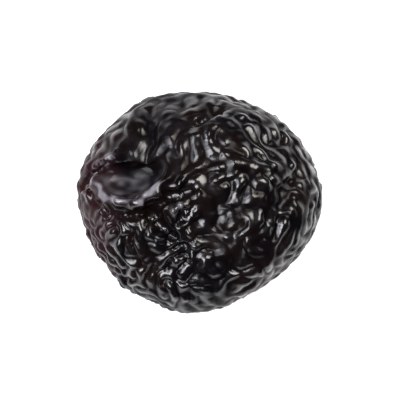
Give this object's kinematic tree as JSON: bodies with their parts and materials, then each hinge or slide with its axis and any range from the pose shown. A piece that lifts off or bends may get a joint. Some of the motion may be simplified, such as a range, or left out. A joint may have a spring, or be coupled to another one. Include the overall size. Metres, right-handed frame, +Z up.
{
  "type": "dried cherry",
  "caption": "Pitted dark sweet cherry, dried whole: a flattened, wrinkled fruit with a sunken stalk end, lying on its broad side.",
  "frame": {"origin": "middle of the bounding box on the plane that the fruit lies on, under its middle", "axes": "+X along the fruit's longest way, away from the sunken stalk end, +Y across it, +Z up from the flat spot it rests on"},
  "size_m": [0.0206, 0.019, 0.0123],
  "materials": {
    "cherry_skin": "glossy wrinkled near-black purple fruit skin"
  },
  "bodies": {
    "root": {"dried_cherry": "cherry_skin"}
  },
  "joints": []
}
